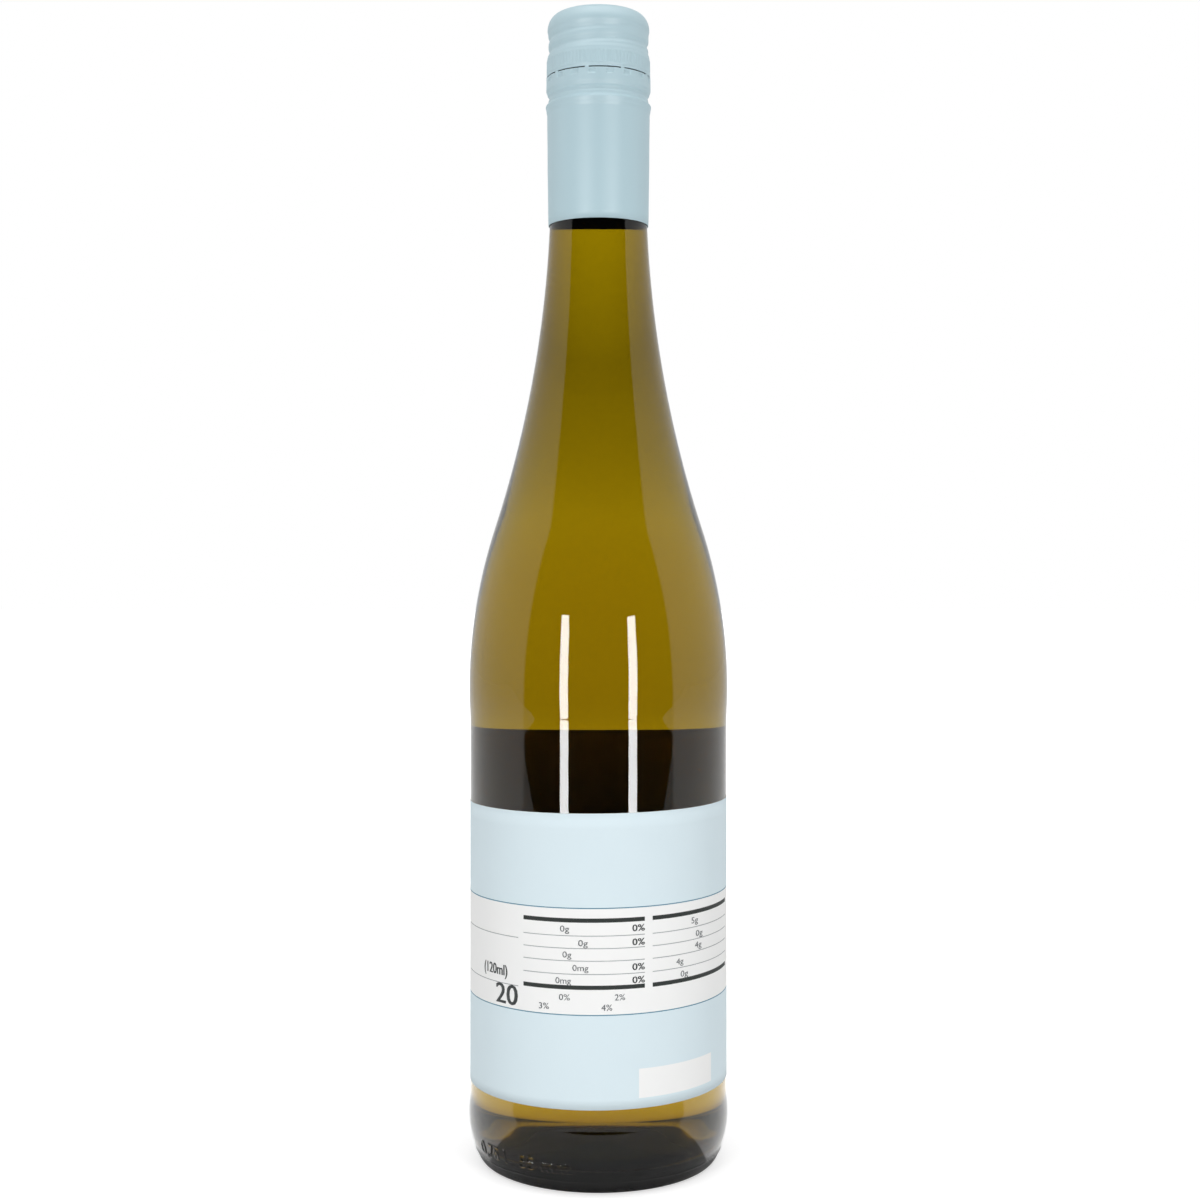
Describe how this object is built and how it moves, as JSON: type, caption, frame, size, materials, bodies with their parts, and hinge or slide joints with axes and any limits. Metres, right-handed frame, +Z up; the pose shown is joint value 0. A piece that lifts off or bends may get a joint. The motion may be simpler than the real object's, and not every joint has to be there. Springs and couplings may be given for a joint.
{
  "type": "wine bottle",
  "caption": "Slim round green-glass wine bottle, full and sealed, with a long-skirted aluminium screw cap and wrapped paper labels.",
  "frame": {"origin": "centre of the flat ring that the bottle stands on", "axes": "+Z up along the bottle's axis, -Y out of the middle of the back label, +Y out of the middle of the front label"},
  "size_m": [0.0754, 0.0754, 0.3318],
  "materials": {
    "green_glass": "gloss",
    "wine": "gloss",
    "cap_enamel": "satin",
    "label_paper": "matte"
  },
  "bodies": {
    "root": {"glass_bottle": "green_glass", "wine": "wine", "screw_cap": "cap_enamel", "label_back": "label_paper", "label_front": "label_paper"}
  },
  "joints": []
}
